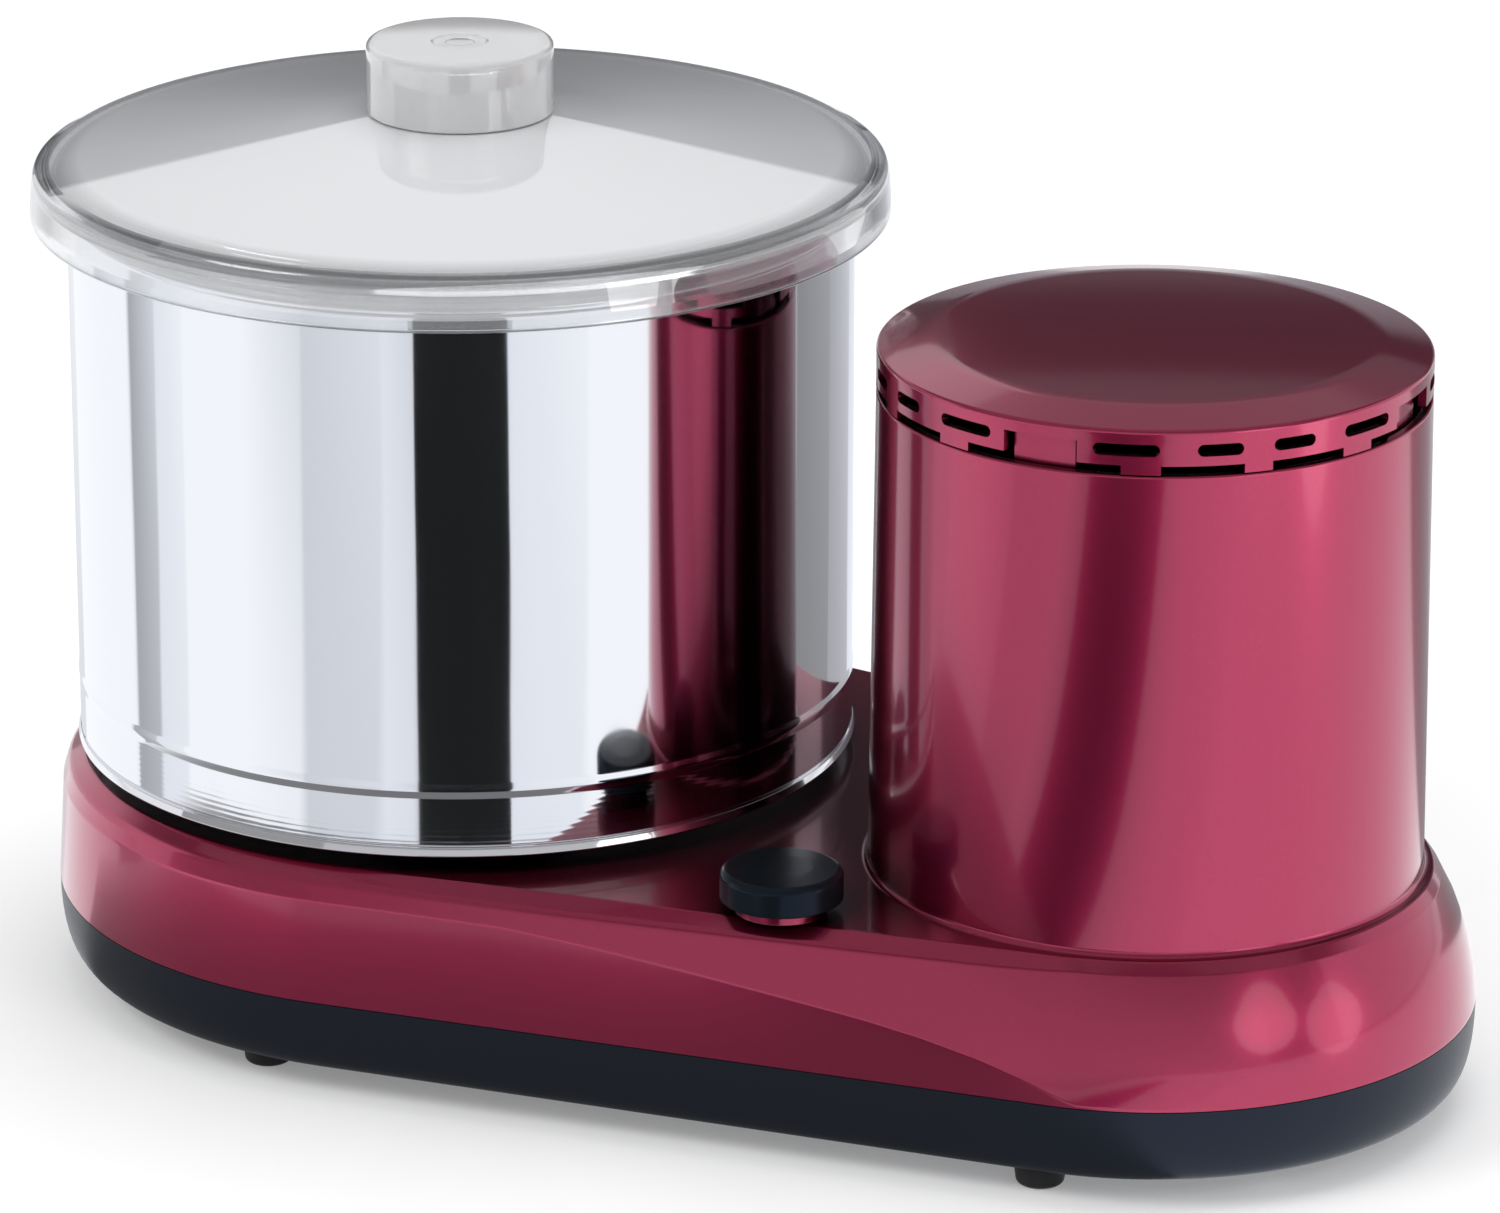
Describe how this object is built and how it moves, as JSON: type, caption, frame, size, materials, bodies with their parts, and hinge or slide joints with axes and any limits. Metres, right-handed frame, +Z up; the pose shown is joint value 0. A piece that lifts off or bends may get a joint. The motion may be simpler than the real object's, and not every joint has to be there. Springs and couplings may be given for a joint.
{
  "type": "tabletop wet grinder",
  "caption": "Tabletop wet grinder: a steel drum with cone stones under a clear lid, beside a motor tower, on one base with a push button.",
  "frame": {"origin": "on the ground, in the middle of the bounding box's length and width", "axes": "+Z up, +X along the base from the drum to the motor tower, -Y the front, with the push button"},
  "size_m": [0.462, 0.262, 0.297],
  "materials": {
    "body_plastic": "glossy maroon ABS with a fine metallic pearl",
    "tray_plastic": "near-black moulded ABS, half gloss",
    "button_plastic": "near-black moulded ABS, glossy on top",
    "foot_rubber": "matte black rubber",
    "drum_steel": "stainless steel, mirror polished",
    "frame_steel": "stainless steel, polished",
    "zinc_steel": "pressed steel, zinc plated",
    "turned_steel": "turned and ground steel",
    "cast_aluminium": "cast, as it leaves the mould",
    "silicon_steel": "stacked sheets, varnished",
    "copper_wire": "enamelled copper wire",
    "granite": "black granite, ground",
    "clear_plastic": "clear moulded polycarbonate",
    "white_nylon": "off-white moulded nylon",
    "inner_plastic": "black moulded nylon",
    "belt_rubber": "matte black belt rubber",
    "can_plastic": "light grey moulded can"
  },
  "bodies": {
    "housing": {"body_shell": "body_plastic", "motor_cover": "body_plastic", "base_tray": "tray_plastic", "foot_front_left": "foot_rubber", "foot_front_right": "foot_rubber", "foot_rear_left": "foot_rubber", "foot_rear_right": "foot_rubber", "tray_screw_1": "zinc_steel", "tray_screw_2": "zinc_steel", "tray_screw_3": "zinc_steel", "tray_screw_4": "zinc_steel", "chassis_plate": "zinc_steel", "bridge_bar": "zinc_steel", "centre_post": "turned_steel", "post_nut": "zinc_steel", "cord_gland": "foot_rubber", "spindle_housing": "cast_aluminium", "spindle_bearing_lower": "turned_steel", "spindle_bearing_upper": "turned_steel", "drive_belt": "belt_rubber", "motor_bracket_lower": "cast_aluminium", "motor_bracket_upper": "cast_aluminium", "motor_bearing_lower": "turned_steel", "motor_bearing_upper": "turned_steel", "stator_core": "silicon_steel", "stator_winding": "copper_wire", "motor_bolt_1": "zinc_steel", "motor_bolt_2": "zinc_steel", "capacitor": "can_plastic", "capacitor_clip": "zinc_steel", "switch_body": "inner_plastic", "terminal_block": "white_nylon"},
    "spindle": {"drum_spindle": "turned_steel", "driven_pulley": "cast_aluminium", "drive_coupling": "inner_plastic"},
    "rotor": {"motor_shaft": "turned_steel", "rotor_core": "silicon_steel", "motor_pulley": "turned_steel", "cooling_fan": "inner_plastic"},
    "button": {"switch_button": "button_plastic"},
    "drum": {"drum_shell": "drum_steel", "drum_tube": "drum_steel", "base_stone": "granite", "coupling_socket": "inner_plastic"},
    "roller_hub": {"hub_sleeve": "frame_steel", "tension_spring": "turned_steel"},
    "knob": {"lock_knob": "inner_plastic"},
    "yoke": {"roller_yoke": "frame_steel", "roller_pin_a": "frame_steel", "roller_pin_b": "frame_steel", "scraper_arm": "frame_steel", "scraper_blade": "white_nylon"},
    "roller_a": {"roller_stone_a": "granite", "roller_bush_a": "white_nylon"},
    "roller_b": {"roller_stone_b": "granite", "roller_bush_b": "white_nylon"},
    "lid": {"lid_cover": "clear_plastic", "lid_knob": "clear_plastic", "lid_knob_screw": "zinc_steel"}
  },
  "joints": [
    {"name": "drum_spin", "type": "hinge", "parent": "housing", "child": "spindle", "pos_m": [-0.1, 0, 0.05], "axis": [0, 0, 1], "continuous": true},
    {"name": "motor_spin", "type": "hinge", "parent": "housing", "child": "rotor", "pos_m": [0.131, 0, 0.05], "axis": [0, 0, 1], "continuous": true},
    {"name": "drum_lift", "type": "slide", "parent": "spindle", "child": "drum", "axis": [0, 0, 1], "range_m": [0, 0.13]},
    {"name": "hub_hold", "type": "hinge", "parent": "drum", "child": "roller_hub", "pos_m": [-0.1, 0, 0.15], "axis": [0, 0, 1], "continuous": true},
    {"name": "lock_knob_turn", "type": "hinge", "parent": "roller_hub", "child": "knob", "pos_m": [-0.1, 0, 0.2], "axis": [0, 0, 1], "range_deg": [0, 120]},
    {"name": "roller_float", "type": "slide", "parent": "roller_hub", "child": "yoke", "axis": [0, 0, 1], "range_m": [0, 0.004], "stiffness_N_per_m": 2000, "springref_m": -0.006, "deforming": ["tension_spring"]},
    {"name": "roller_a_spin", "type": "hinge", "parent": "yoke", "child": "roller_a", "pos_m": [-0.1, 0, 0.1131], "axis": [0.9397, 0, 0.342], "continuous": true},
    {"name": "roller_b_spin", "type": "hinge", "parent": "yoke", "child": "roller_b", "pos_m": [-0.1, 0, 0.1131], "axis": [-0.9397, 0, 0.342], "continuous": true},
    {"name": "lid_lift", "type": "slide", "parent": "drum", "child": "lid", "axis": [0, 0, 1], "range_m": [0, 0.07]},
    {"name": "button_press", "type": "slide", "parent": "housing", "child": "button", "axis": [0, 0, 1], "range_m": [-0.003, 0], "stiffness_N_per_m": 300, "springref_m": 0.004}
  ],
  "couplings": [
    {"joint": "motor_spin", "follows": "drum_spin", "ratio": 8},
    {"joint": "hub_hold", "follows": "drum_spin", "ratio": -1},
    {"joint": "roller_a_spin", "follows": "drum_spin", "ratio": 2.9238},
    {"joint": "roller_b_spin", "follows": "drum_spin", "ratio": 2.9238}
  ]
}
